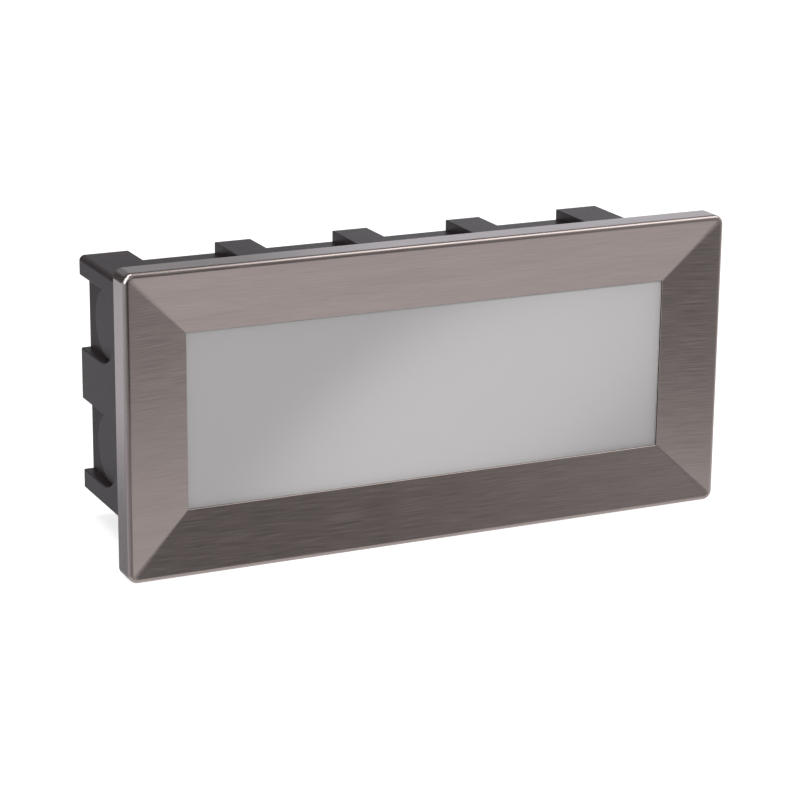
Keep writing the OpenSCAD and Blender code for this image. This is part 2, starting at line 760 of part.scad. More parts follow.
// The section carried round the cover: four straight sides and four turned corners
module rim() {
    straight = cover_half - [cover_corner_r, cover_corner_r];
    for (side = [0 : 3]) {
        long = side % 2 == 0 ? straight[1] : straight[0];
        out = side % 2 == 0 ? cover_half[0] : cover_half[1];
        corner = side % 2 == 0 ? straight : [straight[1], straight[0]];
        translate([0, ridge_y, 0]) rotate([0, side * 90, 0]) {
            translate([out, 0, -long]) linear_extrude(2 * long) rim_section();
            translate([corner[0], 0, -corner[1]]) rotate([-90, 0, 0])
                rotate_extrude(angle = 90) translate([cover_corner_r, 0]) rim_section();
        }
    }
}

// Pressed steel cover: side flange, rolled edge and four faces that slope down to the window
module bezel() {
    color(steel) {
        rim();
        intersection() {
            through(ridge_y, sheet_rear_y) round_rect(ridge_half, cover_corner_r - edge_roll_r);
            difference() {
                dish(sheet_t);
                dish(0);
                through(ridge_y, sheet_rear_y + over) plain_rect(window_half);
            }
        }
    }
}

function stud_places() = [for (x = stud_xs, z = [-stud_z, stud_z]) [x, z]];

// Studs whose front ends lie flat against the back of the sloping sheet
module weld_studs() {
    color("silver") difference() {
        for (at = stud_places())
            rod(at, stud_r, ridge_y, seal_front_y + stud_nut_t + stud_tail);
        dish(sheet_t);
    }
}

module stud_nuts() {
    color("silver") for (at = stud_places()) difference() {
        translate([at[0], seal_front_y, at[1]]) rotate([-90, 0, 0])
            cylinder(r = stud_nut_r, h = stud_nut_t, $fn = 6);
        hole(at, stud_r + shank_gap / 2, seal_front_y, seal_front_y + stud_nut_t);
    }
}

module glass_gasket() {
    color("#e8e8e4") difference() {
        through(sheet_rear_y, glass_front_y) plain_rect(glass_half);
        through(sheet_rear_y - over, glass_front_y + over) plain_rect(window_half + [seat_gap, seat_gap]);
    }
}

module diffuser_glass() {
    color("lightgray") through(glass_front_y, glass_rear_y) plain_rect(glass_half);
}

// A tongue on the frame that carries one spring clip
module clip_tongue(x, up) {
    translate([x - tongue_w / 2, ledge_rear_y - ledge_t, up > 0 ? clip_z - frame_wall_t : -clip_z])
        cube([tongue_w, ledge_t + tongue_l, frame_wall_t]);
}

// Moulded frame: a rim against the steel, a plate, and a ring that the glass drops into
module glass_frame() {
    color(black) difference() {
        union() {
            through(frame_rim_front_y, seal_front_y) round_rect(frame_half, frame_corner_r);
            through(plate_front_y, ledge_rear_y) plain_rect(ring_half);
            for (x = [rib_xs[0], rib_xs[2]], up = [-1, 1]) clip_tongue(x, up);
        }
        through(frame_rim_front_y - over, plate_front_y)
            round_rect(frame_half - [frame_rim_t, frame_rim_t], frame_corner_r - frame_rim_t);
        through(plate_front_y - over, glass_rear_y) plain_rect(ring_inner_half);
        through(plate_front_y - over, ledge_rear_y + over) plain_rect(ring_inner_half - [ledge_w, ledge_w]);
        for (at = stud_places()) hole(at, stud_r + shank_gap, plate_front_y, seal_front_y);
        for (x = [rib_xs[0], rib_xs[2]])
            translate([x, rivet_y, 0])
                cylinder(r = rivet_r + shank_gap / 2, h = 2 * (clip_z + over), center = true);
    }
}

module frame_seal() {
    color("#1f1f20") through(seal_front_y, seal_front_y + seal_t) difference() {
        round_rect(seal_half, lip_corner_r);
        round_rect(seal_half - [seal_w, seal_w], lip_corner_r / 2);
    }
}

// Side view of one spring clip as [depth, up]: a flat foot and an arched bow
module clip_profile() {
    translate([clip_foot_y, 0]) square([clip_foot_l, clip_t]);
    intersection() {
        translate([clip_bow_y, clip_sagitta - clip_bow_r]) difference() {
            circle(clip_bow_r + clip_t, $fn = 128);
            circle(clip_bow_r, $fn = 128);
        }
        translate([clip_bow_y - clip_bow_l / 2, 0]) square([clip_bow_l, clip_rise]);
    }
}

module spring_clips() {
    color("silver") for (x = [rib_xs[0], rib_xs[2]], up = [0, 1]) mirror([0, 0, up])
        difference() {
            translate([x - clip_w / 2, 0, clip_z]) rotate([90, 0, 90]) linear_extrude(clip_w) clip_profile();
            translate([x, rivet_y, clip_z - over])
                cylinder(r = rivet_r + shank_gap / 2, h = clip_t + 2 * over);
        }
}

module clip_rivets() {
    grip = frame_wall_t + clip_t;
    color("silver") for (x = [rib_xs[0], rib_xs[2]], up = [0, 1]) mirror([0, 0, up])
        translate([x, rivet_y, clip_z - frame_wall_t - rivet_head_t]) {
            cylinder(r = rivet_head_r, h = rivet_head_t);
            cylinder(r = rivet_r, h = grip + 2 * rivet_head_t);
            translate([0, 0, grip + rivet_head_t]) cylinder(r = rivet_head_r, h = rivet_head_t);
        }
}

mounting_box();
cable_grommet();
cord_clamp();
cord_clamp_screws();
terminal_block();
terminal_clamps();
terminal_screws();
terminal_fixings();
gear_tray();
tray_screws();
led_board();
leds();
board_screws();
reflector();
driver_case();
driver_lid();
driver_screws();
earth_tag();
earth_screw();
live_lead();
neutral_lead();
earth_lead();
led_leads();
bezel();
weld_studs();
stud_nuts();
glass_gasket();
diffuser_glass();
glass_frame();
frame_seal();
spring_clips();
clip_rivets();
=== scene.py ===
"""Recessed outdoor wall light: its finish, its finer shapes and its studio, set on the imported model."""

import json
import math

import bmesh
import bpy
from bpy.props import FloatProperty, FloatVectorProperty, IntProperty, PointerProperty
from mathutils import Matrix, Vector


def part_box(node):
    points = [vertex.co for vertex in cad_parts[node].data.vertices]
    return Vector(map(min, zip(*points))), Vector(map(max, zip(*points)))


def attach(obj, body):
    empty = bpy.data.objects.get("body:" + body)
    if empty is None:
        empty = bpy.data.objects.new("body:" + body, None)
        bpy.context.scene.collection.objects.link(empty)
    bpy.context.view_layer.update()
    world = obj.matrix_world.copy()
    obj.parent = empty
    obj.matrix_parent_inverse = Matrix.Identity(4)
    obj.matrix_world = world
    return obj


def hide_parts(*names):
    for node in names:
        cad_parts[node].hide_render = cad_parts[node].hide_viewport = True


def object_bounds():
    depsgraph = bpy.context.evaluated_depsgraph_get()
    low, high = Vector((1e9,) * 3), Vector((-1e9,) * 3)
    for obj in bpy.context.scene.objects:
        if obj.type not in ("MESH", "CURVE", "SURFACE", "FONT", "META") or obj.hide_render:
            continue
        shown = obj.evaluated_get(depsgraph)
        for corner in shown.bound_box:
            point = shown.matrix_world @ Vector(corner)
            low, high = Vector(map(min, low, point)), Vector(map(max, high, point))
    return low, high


bl_info = {
    "name": "Recessed Wall Light",
    "version": (1, 0, 0),
    "blender": (4, 5, 0),
    "location": "3D View > Sidebar > Wall Light",
    "description": "Dresses the packed model of a recessed outdoor wall light",
    "category": "Object",
}

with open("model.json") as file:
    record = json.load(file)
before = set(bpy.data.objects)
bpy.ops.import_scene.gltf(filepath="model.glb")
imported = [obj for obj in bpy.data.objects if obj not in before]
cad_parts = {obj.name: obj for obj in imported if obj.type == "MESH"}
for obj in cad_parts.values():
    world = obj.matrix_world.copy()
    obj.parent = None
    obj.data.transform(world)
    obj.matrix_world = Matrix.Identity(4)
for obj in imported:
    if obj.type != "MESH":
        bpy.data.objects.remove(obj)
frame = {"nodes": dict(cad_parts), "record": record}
cad_box = [list(corner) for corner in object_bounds()]

MM = 0.001
IMAGE_W = 800
SENSOR_W = 36.0
SAME_SPOT = 0.001 * MM  # corners of a solid's mesh that lie nearer than this are one
FLAT_TURN = math.radians(0.5)  # faces that turn less than this against each other are one
EDGE_TURN = math.radians(30)  # edges that turn more than this are rounded
SHARP_TURN = math.radians(32)  # edges that turn more than this are shaded sharp
SLOPE_SHARES = (0.04, 0.12, 0.5, 0.88, 0.98)  # rows on the cover's slopes, from the roll to the window
ROUND_STEPS = 3  # faces across a rounded edge of the box
BORE_GAP = 0.05 * MM  # from a stud to the bore of its nut


def linear(hex_colour):
    """Linear colour of an sRGB hex value."""
    shares = [int(hex_colour[i : i + 2], 16) / 255 for i in (1, 3, 5)]
    return [s / 12.92 if s <= 0.04045 else ((s + 0.055) / 1.055) ** 2.4 for s in shares] + [1.0]


def size_prop(name, value, description):
    return FloatProperty(name=name, description=description, default=value, unit="LENGTH", precision=5)


def angle_prop(name, degrees, description):
    return FloatProperty(name=name, description=description, default=math.radians(degrees), subtype="ANGLE")


def power_prop(name, watts, description):
    return FloatProperty(name=name, description=description, default=watts, unit="POWER")


def plain_prop(name, value, description):
    return FloatProperty(name=name, description=description, default=value)


def count_prop(name, value, description, least):
    return IntProperty(name=name, description=description, default=value, min=least)


def colour_prop(name, value, description):
    shown = linear(value)
    return FloatVectorProperty(name=name, description=description, default=shown, size=4, subtype="COLOR")


class WallLightSizes(bpy.types.PropertyGroup):
    """Sizes of the pieces that are modelled here."""

    window_w: size_prop("Window width", 184 * MM, "Width of the window in the cover")
    window_h: size_prop("Window height", 62.4 * MM, "Height of the window in the cover")
    window_r: size_prop("Window corner", 0.3 * MM, "Radius of the window's corners")
    dish: size_prop("Dish", 3.4 * MM, "Depth from the ridge of the cover to the window")
    sheet: size_prop("Sheet", 0.8 * MM, "Thickness of the steel sheet")
    corner_r: size_prop("Cover corner", 3.5 * MM, "Radius of the cover's corners, seen from the front")
    roll_r: size_prop("Edge roll", 1.5 * MM, "Outer radius of the rolled edge")
    ease_r: size_prop("Easing radius", 14 * MM, "Radius by which the flange eases into its roll")
    ease_turn: angle_prop("Easing", 5, "How far the flange turns before the roll")
    burr_r: size_prop("Cut edge", 0.12 * MM, "Break of the sheet's cut edge round the window")
    box_edge: size_prop("Box edge", 0.3 * MM, "Radius of the box's moulded edges")
    pocket_rim: size_prop("Pocket rim", 0.5 * MM, "Radius of the rims of the pockets in the box's ends")
    box_half_w: size_prop("Box half width", 104.9 * MM, "From the middle of the box to its end faces")
    pocket_top: size_prop("Pocket top", 36.5 * MM, "From the middle of the box to just beyond its pockets")
    sunk_x: size_prop("Sunk ends", 101.8 * MM, "The box's end faces nearer the middle than this are duller")
    sunk_z: size_prop("Sunk sides", 38 * MM, "The box's long faces nearer the middle than this are duller")
    head_rise: size_prop("Screw head", 1.5 * MM, "Height of a small screw's head")
    tray_head_rise: size_prop("Tray screw head", 2 * MM, "Height of a tray screw's head")
    block_head_rise: size_prop("Block screw head", 1.4 * MM, "Height of the block screws' heads")
    recess_w: size_prop("Screw recess", 0.8 * MM, "Width of a cross recess")
    small_shank_r: size_prop("Small shank", 1.25 * MM, "Radius of a small screw's shank")
    tray_shank_r: size_prop("Tray screw shank", 1.5 * MM, "Radius of a tray screw's shank")
    slot_w: size_prop("Screw slot", 0.5 * MM, "Width of a terminal screw's slot")
    rivet_rise: size_prop("Rivet head", 0.8 * MM, "Height of a rivet's head")
    rivet_r: size_prop("Rivet shank", 1.25 * MM, "Radius of a rivet's shank")
    lamp_well_r: size_prop("Lamp well", 1.1 * MM, "Radius of a lamp's round phosphor")
    corner_steps: count_prop("Corner steps", 14, "Faces in each of the cover's corners", 4)
    ease_steps: count_prop("Easing steps", 4, "Faces across the easing", 1)
    roll_steps: count_prop("Roll steps", 9, "Faces across the rolled edge", 3)


class WallLightColours(bpy.types.PropertyGroup):
    """Colours of the finishes."""

    stainless: colour_prop("Brushed steel", "#9d928f", "Brushed stainless steel")
    box: colour_prop("Box", "#1f1518", "Moulded box")
    glass: colour_prop("Glass", "#b1afb0", "Frosted glass")
    white: colour_prop("White", "#ecebe7", "White paint and moulding")
    zinc: colour_prop("Zinc", "#c3c5c6", "Zinc plate")
    brass: colour_prop("Brass", "#d2b478", "Brass")
    phosphor: colour_prop("Phosphor", "#e2c64b", "Lamp phosphor")
    floor: colour_prop("Floor", "#cfcfcf", "Studio floor")


class WallLightStudio(bpy.types.PropertyGroup):
    """Camera, lamps and floor."""

    azimuth: angle_prop("Azimuth", -25.39, "Camera angle round the light")
    elevation: angle_prop("Elevation", 16.565, "Camera angle above the horizon")
    roll: angle_prop("Roll", 0.581, "Tilt of the camera")
    distance: size_prop("Distance", 972.69 * MM, "From the light to the camera")
    aim_right: size_prop("Aim right", -8.53 * MM, "How far the aim lies to the right of the origin")
    aim_up: size_prop("Aim up", -4.72 * MM, "How far the aim lies above the origin")
    focal_px: plain_prop("Focal length", 2752.1, "Focal length in pixels of the picture")
    fill: plain_prop("Fill", 0.3, "Strength of the even light from all round")
    key: power_prop("Key", 9.1, "Power of the soft lamp in front and above")
    overhead: power_prop("Overhead", 5.0, "Power of the lamp above, at the right")
    strip: power_prop("Strip", 4.8, "Power of the lamp above, at the left")
    beam: power_prop("Beam", 31.0, "Power of the slanting beam on the glass")
    beam_slant: angle_prop("Beam slant", 27, "Slant of the beam's band")
    floor_lift: plain_prop("Floor lift", 0.75, "What the floor adds to reach white in the picture")


def add(tree, kind, inputs=None, **settings):
    """Adds a node with its settings, and gives its inputs their values or links."""
    node = tree.nodes.new(kind)
    for name, value in settings.items():
        setattr(node, name, value)
    for key, value in (inputs or {}).items():
        several = isinstance(value, tuple) and isinstance(value[0], bpy.types.NodeSocket)
        for item in value if several else [value]:
            if isinstance(item, bpy.types.NodeSocket):
                tree.links.new(item, node.inputs[key])
            else:
                node.inputs[key].default_value = item
    return node


def grain(tree, pitch, detail=2.0, unrolled=False):
    """A mask of soft lumps that measure pitch, on the piece's own coordinates or on the unrolled sheet's."""
    if unrolled:
        source = add(tree, "ShaderNodeUVMap", uv_map="unrolled").outputs["UV"]
    else:
        source = add(tree, "ShaderNodeTexCoord").outputs["Object"]
    place = add(tree, "ShaderNodeMapping", {"Vector": source, "Scale": [1 / p for p in pitch]}).outputs[0]
    return add(tree, "ShaderNodeTexNoise", {"Vector": place, "Scale": 1.0, "Detail": detail}).outputs[0]


def maths(tree, kind, first, second):
    return add(tree, "ShaderNodeMath", {0: first, 1: second}, operation=kind).outputs[0]


def spread(tree, mask, low, high):
    """The mask, stretched from its usual 0.3 to 0.7 over the values given."""
    return add(
        tree,
        "ShaderNodeMapRange",
        {"Value": mask, "From Min": 0.3, "From Max": 0.7, "To Min": low, "To Max": high},
    ).outputs[0]


def mottled(tree, colour, mask, share):
    """The colour, made lighter and darker by a share of itself where the mask says."""
    value = spread(tree, mask, 1 - share, 1 + share)
    return add(tree, "ShaderNodeHueSaturation", {"Color": list(colour), "Value": value}).outputs[0]


def coat(tree, colour, mask, share, rough, more=None):
    """A shader whose colour varies by a share of itself, and roughness over a range, as the mask says."""
    inputs = {"Base Color": mottled(tree, colour, mask, share), "Roughness": spread(tree, mask, *rough)}
    return add(tree, "ShaderNodeBsdfPrincipled", {**inputs, **(more or {})})


def metal(tree, colour, mask, share, rough, more=None):
    """A coat of bare metal."""
    return coat(tree, colour, mask, share, rough, {"Metallic": 1.0, **(more or {})})


def brushed_stainless(tree, look):
    # Stainless sheet, belt-brushed along its length before pressing, and its rim brushed again all round.
    # Reflections smear across the grain, and faint straight streaks run with it. The streaks are drawn
    # 0.4 mm apart, coarser than real, to show.
    fine = grain(tree, (14 * MM, 0.4 * MM, 1), 3.0, unrolled=True)
    broad = grain(tree, (60 * MM, 5 * MM, 1), 2.0, unrolled=True)
    streaks = add(tree, "ShaderNodeMix", {"Factor": 0.3, "A": fine, "B": broad}, data_type="FLOAT").outputs[0]
    along = add(tree, "ShaderNodeTangent", direction_type="UV_MAP", uv_map="unrolled").outputs[0]
    return add(
        tree,
        "ShaderNodeBsdfPrincipled",
        {
            "Base Color": mottled(tree, look.stainless, streaks, 0.12),
            "Metallic": 1.0,
            "Roughness": spread(tree, fine, 0.165, 0.235),
            "Anisotropic": 0.6,
            "Anisotropic Rotation": 0.25,
            "Tangent": along,
        },
    )


def sheared_stainless(tree, look):
    # The sheet's cut edge: torn by the shear, so it is dull; its colour is also made much darker than the
    # brushed face as painted shade, which draws a dark line round the window.
    tears = grain(tree, (0.3 * MM,) * 3, 3.0)
    return metal(tree, linear("#2e2927"), tears, 0.2, (0.5, 0.7))


def plain_stainless(tree, look):
    # Turned stainless bar: even grey gloss with fine lathe rings 0.2 mm apart.
    rings = grain(tree, (4 * MM, 0.2 * MM, 4 * MM))
    return metal(tree, look.stainless, rings, 0.06, (0.22, 0.34))


def spring_steel(tree, look):
    # Rolled stainless strip: bright, with faint rolling marks along the strip.
    marks = grain(tree, (0.4 * MM, 9 * MM, 9 * MM), 3.0)
    lay = add(tree, "ShaderNodeBump", {"Height": marks, "Distance": 0.003 * MM}).outputs[0]
    return metal(tree, look.zinc, marks, 0.05, (0.16, 0.28), {"Normal": lay})


def zinc_plated_steel(tree, look):
    # Bright zinc plate on cold-headed screws: cool and shiny, with slightly cloudy passivation.
    clouds = grain(tree, (1.2 * MM,) * 3, 3.0)
    return metal(tree, look.zinc, clouds, 0.07, (0.2, 0.36))


def rivet_aluminium(tree, look):
    # Soft drawn aluminium, dulled where the rivet tool pressed it.
    dull = grain(tree, (0.7 * MM,) * 3)
    return metal(tree, look.white, dull, 0.06, (0.3, 0.48))


def brass(tree, look):
    # Extruded and machined brass: warm, with fine tool marks.
    marks = grain(tree, (0.25 * MM, 3 * MM, 3 * MM))
    return metal(tree, look.brass, marks, 0.08, (0.2, 0.34))


def moulded(tree, colour, lump, share, roughness, specular=0.5):
    """Moulded plastic in a colour, with a spark-eroded skin whose lumps measure the size given."""
    skin = grain(tree, (lump,) * 3, 3.0)
    flow = grain(tree, (24 * MM, 40 * MM, 24 * MM))
    relief = add(tree, "ShaderNodeBump", {"Height": skin, "Distance": 0.02 * MM, "Strength": 0.6}).outputs[0]
    return add(
        tree,
        "ShaderNodeBsdfPrincipled",
        {
            "Base Color": mottled(tree, colour, flow, share),
            "Roughness": spread(tree, skin, roughness - 0.05, roughness + 0.05),
            "Specular IOR Level": specular,
            "Normal": relief,
        },
    )


def box_plastic(tree, look):
    # Charcoal polypropylene moulding: satin, softly sheened on its outer faces. Its sunk faces, such as
    # the floors of the pockets in its ends, lie in the deep parts of the mould and come out duller.
    size = bpy.context.scene.wall_light_sizes
    satin = moulded(tree, look.box, 0.5 * MM, 0.12, 0.44, 0.4)
    spot = add(tree, "ShaderNodeTexCoord").outputs["Object"]
    out = add(tree, "ShaderNodeVectorMath", {0: spot}, operation="ABSOLUTE").outputs[0]
    x, _, z = add(tree, "ShaderNodeSeparateXYZ", {"Vector": out}).outputs
    end = maths(tree, "GREATER_THAN", x, size.sunk_x)
    side = maths(tree, "GREATER_THAN", z, size.sunk_z)
    outer = maths(tree, "MAXIMUM", end, side)
    worn = satin.inputs["Roughness"].links[0].from_socket
    dull = add(tree, "ShaderNodeMapRange", {"Value": outer, "To Min": 0.12, "To Max": 0.0}).outputs[0]
    rough = maths(tree, "ADD", worn, dull)
    tree.links.new(rough, satin.inputs["Roughness"])
    return satin


def driver_plastic(tree, look):
    # Black flame-retardant moulding with a coarser, duller skin.
    return moulded(tree, linear("#232224"), 0.35 * MM, 0.06, 0.55)


def terminal_plastic(tree, look):
    # Natural nylon: milky, a little waxy.
    return moulded(tree, linear("#dcdad0"), 0.8 * MM, 0.03, 0.4)


def reflector_white(tree, look):
    # Gloss white moulding, polished to throw the light forwards.
    return moulded(tree, look.white, 3 * MM, 0.02, 0.18)


def tray_paint(tree, look):
    # White powder coat on sheet steel: the slight orange peel breaks up its gloss.
    peel = grain(tree, (1.4 * MM,) * 3)
    relief = add(tree, "ShaderNodeBump", {"Height": peel, "Distance": 0.03 * MM}).outputs[0]
    return coat(tree, look.white, peel, 0.02, (0.28, 0.4), {"Normal": relief})


def board_coat(tree, look):
    # White solder mask on an aluminium board: smooth, faintly uneven over the copper.
    copper = grain(tree, (5 * MM, 5 * MM, 3 * MM))
    relief = add(tree, "ShaderNodeBump", {"Height": copper, "Distance": 0.03 * MM}).outputs[0]
    return add(
        tree,
        "ShaderNodeBsdfPrincipled",
        {"Base Color": mottled(tree, look.white, copper, 0.03), "Roughness": 0.3, "Normal": relief},
    )


def lamp_phosphor(tree, look):
    # Phosphor in silicone: yellow when off, with a wet-looking top.
    specks = grain(tree, (0.3 * MM,) * 3)
    return add(
        tree,
        "ShaderNodeBsdfPrincipled",
        {
            "Base Color": mottled(tree, look.phosphor, specks, 0.08),
            "Roughness": 0.2,
            "Subsurface Weight": 0.1,
            "Subsurface Scale": MM,
        },
    )


def frosted_glass(tree, look):
    # Float glass, etched on its face: light spreads in the skin, so it reads as an even milky grey.
    etch = grain(tree, (0.25 * MM,) * 3, 3.0)
    relief = add(tree, "ShaderNodeBump", {"Height": etch, "Distance": 0.006 * MM}).outputs[0]
    return coat(tree, look.glass, etch, 0.015, (0.5, 0.6), {"Transmission Weight": 0.12, "Normal": relief})


def clear_silicone(tree, look):
    # Translucent silicone strip: pale, soft and slightly dusty.
    dust = grain(tree, (1.1 * MM,) * 3)
    return coat(tree, linear("#d8d8d2"), dust, 0.04, (0.4, 0.55))


def seal_foam(tree, look):
    # Closed-cell foam strip: matt black, pitted with cells of 0.6 mm.
    cells = grain(tree, (0.6 * MM,) * 3, 1.0)
    relief = add(tree, "ShaderNodeBump", {"Height": cells, "Distance": 0.15 * MM}).outputs[0]
    return add(
        tree,
        "ShaderNodeBsdfPrincipled",
        {"Base Color": mottled(tree, linear("#1d1c1e"), cells, 0.15), "Roughness": 0.9, "Normal": relief},
    )


def black_rubber(tree, look):
    # Moulded rubber: dark, with a dull bloom.
    bloom = grain(tree, (2.5 * MM,) * 3, 3.0)
    return coat(tree, linear("#1b1a1b"), bloom, 0.12, (0.55, 0.72))


def insulation(tree, hex_colour):
    """Extruded cable insulation: a soft gloss with faint waves along the lead."""
    waves = grain(tree, (2 * MM,) * 3)
    return coat(tree, linear(hex_colour), waves, 0.05, (0.3, 0.42))


def brown_insulation(tree, look):
    # PVC insulation of the live lead.
    return insulation(tree, "#5a3620")


def blue_insulation(tree, look):
    # PVC insulation of the neutral lead.
    return insulation(tree, "#2c5fa8")


def green_insulation(tree, look):
    # PVC insulation of the earth lead, with its yellow stripe along the lead's side.
    side = add(tree, "ShaderNodeTexCoord").outputs["Object"]
    height = add(tree, "ShaderNodeSeparateXYZ", {"Vector": side}).outputs["Z"]
    stripe = maths(tree, "GREATER_THAN", height, 0.0)
    colour = add(
        tree,
        "ShaderNodeMix",
        {0: stripe, 6: linear("#4d8a3c"), 7: linear("#d9c32e")},
        data_type="RGBA",
    ).outputs[2]
    waves = grain(tree, (2 * MM,) * 3)
    inputs = {"Base Color": colour, "Roughness": spread(tree, waves, 0.3, 0.42)}
    return add(tree, "ShaderNodeBsdfPrincipled", inputs)


def white_insulation(tree, look):
    # PVC insulation of the lamp leads.
    return insulation(tree, "#e4e3de")


FINISHES = (
    brushed_stainless,
    sheared_stainless,
    plain_stainless,
    spring_steel,
    zinc_plated_steel,
    rivet_aluminium,
    brass,
    box_plastic,
    driver_plastic,
    terminal_plastic,
    reflector_white,
    tray_paint,
    board_coat,
    lamp_phosphor,
    frosted_glass,
    clear_silicone,
    seal_foam,
    black_rubber,
    brown_insulation,
    blue_insulation,
    green_insulation,
    white_insulation,
)


def emptied(owner):
    """The node tree of a material or a world, with nothing in it yet."""
    owner.use_nodes = True
    owner.node_tree.nodes.clear()
    return owner.node_tree


def finish(slot):
    """The material of a slot of the record, made the first time it is asked for."""
    if slot in bpy.data.materials and bpy.data.materials[slot].get("dressed"):
        return bpy.data.materials[slot]
    surface = {f.__name__: f for f in FINISHES}[slot]
    made = bpy.data.materials.new(slot)
    made["dressed"] = True
    tree = emptied(made)
    shader = surface(tree, bpy.context.scene.wall_light_colours)
    add(tree, "ShaderNodeOutputMaterial", {"Surface": shader.outputs[0]})
    return made


def slot_of(node):
    """The record's slot for a CAD node."""
    return next(row["material_slot"] for row in frame["record"]["subparts"] if row["node"] == node)


def dress(*nodes):
    """Gives CAD nodes that stay in view their finish."""
    for node in nodes:
        mesh = frame["nodes"][node].data
        mesh.materials.clear()
        mesh.materials.append(finish(slot_of(node)))


def keep(name, mesh, body, slot, *nodes):
    """Makes a mesh a piece that rides on a body, in a slot's finish, and stands for CAD nodes."""
    mesh.name = name
    piece = bpy.data.objects.new(name, mesh)
    bpy.context.scene.collection.objects.link(piece)
    if not mesh.materials:
        mesh.materials.append(finish(slot))
    mesh.polygons.foreach_set("use_smooth", [True] * len(mesh.polygons))
    mesh.set_sharp_from_angle(angle=SHARP_TURN)
    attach(piece, body)
    if nodes:
        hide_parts(*nodes)
    return piece


def even_normals(piece):
    """Turns the shading of rounded edges into that of their wide neighbours, for flat-looking flats."""
    piece.modifiers.new("even", "WEIGHTED_NORMAL").keep_sharp = True
    graph = bpy.context.evaluated_depsgraph_get()
    mesh = bpy.data.meshes.new_from_object(piece.evaluated_get(graph), depsgraph=graph)
    piece.modifiers.clear()
    piece.data = mesh


# Cover


def cover_rows(size, half, front, rear):
    """The cover's section, from the flange's rear edge over the roll to the window and back inside.
    Each row is (radius from the corner's centre, share of the way to the window, depth)."""
    ease_in = size.ease_r * (1 - math.cos(size.ease_turn))
    centre_r = size.corner_r - ease_in - size.roll_r * math.cos(size.ease_turn)
    centre_y = front + size.roll_r
    run = half.y - size.window_h / 2 - size.corner_r + centre_r
    tilt = math.atan2(size.dish, run)

    def roll(radius, step):
        turn = math.pi / 2 - size.ease_turn - step / size.roll_steps * (math.pi / 2 - size.ease_turn + tilt)
        return centre_r + radius * math.sin(turn), 0.0, centre_y - radius * math.cos(turn)

    def ease(radius, step):
        turn = size.ease_turn * step / size.ease_steps
        ease_y = centre_y - size.roll_r * math.sin(size.ease_turn) + size.ease_r * math.sin(size.ease_turn)
        return size.corner_r - size.ease_r + radius * math.cos(turn), 0.0, ease_y - radius * math.sin(turn)

    window_y = front + size.dish
    rows = [(size.corner_r, 0.0, rear)]
    rows += [ease(size.ease_r, k) for k in range(size.ease_steps)]
    rows += [roll(size.roll_r, k) for k in range(size.roll_steps + 1)]
    radius, _, start_y = rows[-1]
    rows += [(radius, s, start_y + (window_y - start_y) * s) for s in SLOPE_SHARES]
    broken = size.burr_r / run
    rows += [(radius, 1 - broken, window_y - size.dish * broken), (radius, 1.0, window_y + size.burr_r)]
    rows += [(radius, 1.0, window_y + size.sheet)]
    inner = [roll(size.roll_r - size.sheet, k) for k in range(size.roll_steps, -1, -1)]
    inner += [ease(size.ease_r - size.sheet, k) for k in range(size.ease_steps - 1, -1, -1)]
    return rows + inner + [(size.corner_r - size.sheet, 0.0, rear)]


def cover_mesh(size):
    """The pressed cover: its section carried round, each crease fanning out from a sharp window corner."""
    low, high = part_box("bezel")
    half = Vector((high.x, high.z))
    rows = cover_rows(size, half, low.y, high.y)
    corners = [(1, 1), (-1, 1), (-1, -1), (1, -1)]
    mesh = bmesh.new()
    unrolled = mesh.loops.layers.uv.new("unrolled")
    rings, flats, rim = [], {}, {}
    for radius, share, depth in rows:
        ring = []
        for turn, (sx, sz) in enumerate(corners):
            outer = Vector((sx * (half.x - size.corner_r), sz * (half.y - size.corner_r)))
            inset_w, inset_h = size.window_w / 2 - size.window_r, size.window_h / 2 - size.window_r
            window = Vector((sx * inset_w, sz * inset_h))
            for step in range(size.corner_steps + 1):
                angle = math.pi / 2 * (turn + step / size.corner_steps)
                way = Vector((math.cos(angle), math.sin(angle)))
                place = (outer + way * radius).lerp(window + way * size.window_r, share)
                vert = mesh.verts.new((place.x, depth, place.y))
                flats[vert] = place
                along = outer.dot(Vector((-way.y, way.x))) + size.corner_r * angle
                rim[vert] = Vector((along, depth - low.y + radius))
                ring.append(vert)
        rings.append(ring)
    cut = next(k for k, row in enumerate(rows) if row[1] == 1.0)
    for step, (a, b) in enumerate(zip(rings, rings[1:] + rings[:1])):
        unroll = rim if rows[step][1] == rows[(step + 1) % len(rows)][1] == 0 else flats
        for k in range(len(a)):
            n = (k + 1) % len(a)
            face = mesh.faces.new((a[k], a[n], b[n], b[k]))
            face.material_index = int(step == cut)
            for loop in face.loops:
                loop[unrolled].uv = unroll[loop.vert]
    bmesh.ops.recalc_face_normals(mesh, faces=mesh.faces)
    made = bpy.data.meshes.new("cover")
    mesh.to_mesh(made)
    mesh.free()
    return made


# Box


def round_off(mesh, edges, radius):
    settings = {"offset_type": "OFFSET", "segments": ROUND_STEPS, "profile": 0.5, "affect": "EDGES"}
    bmesh.ops.bevel(mesh, geom=edges, offset=radius, **settings)


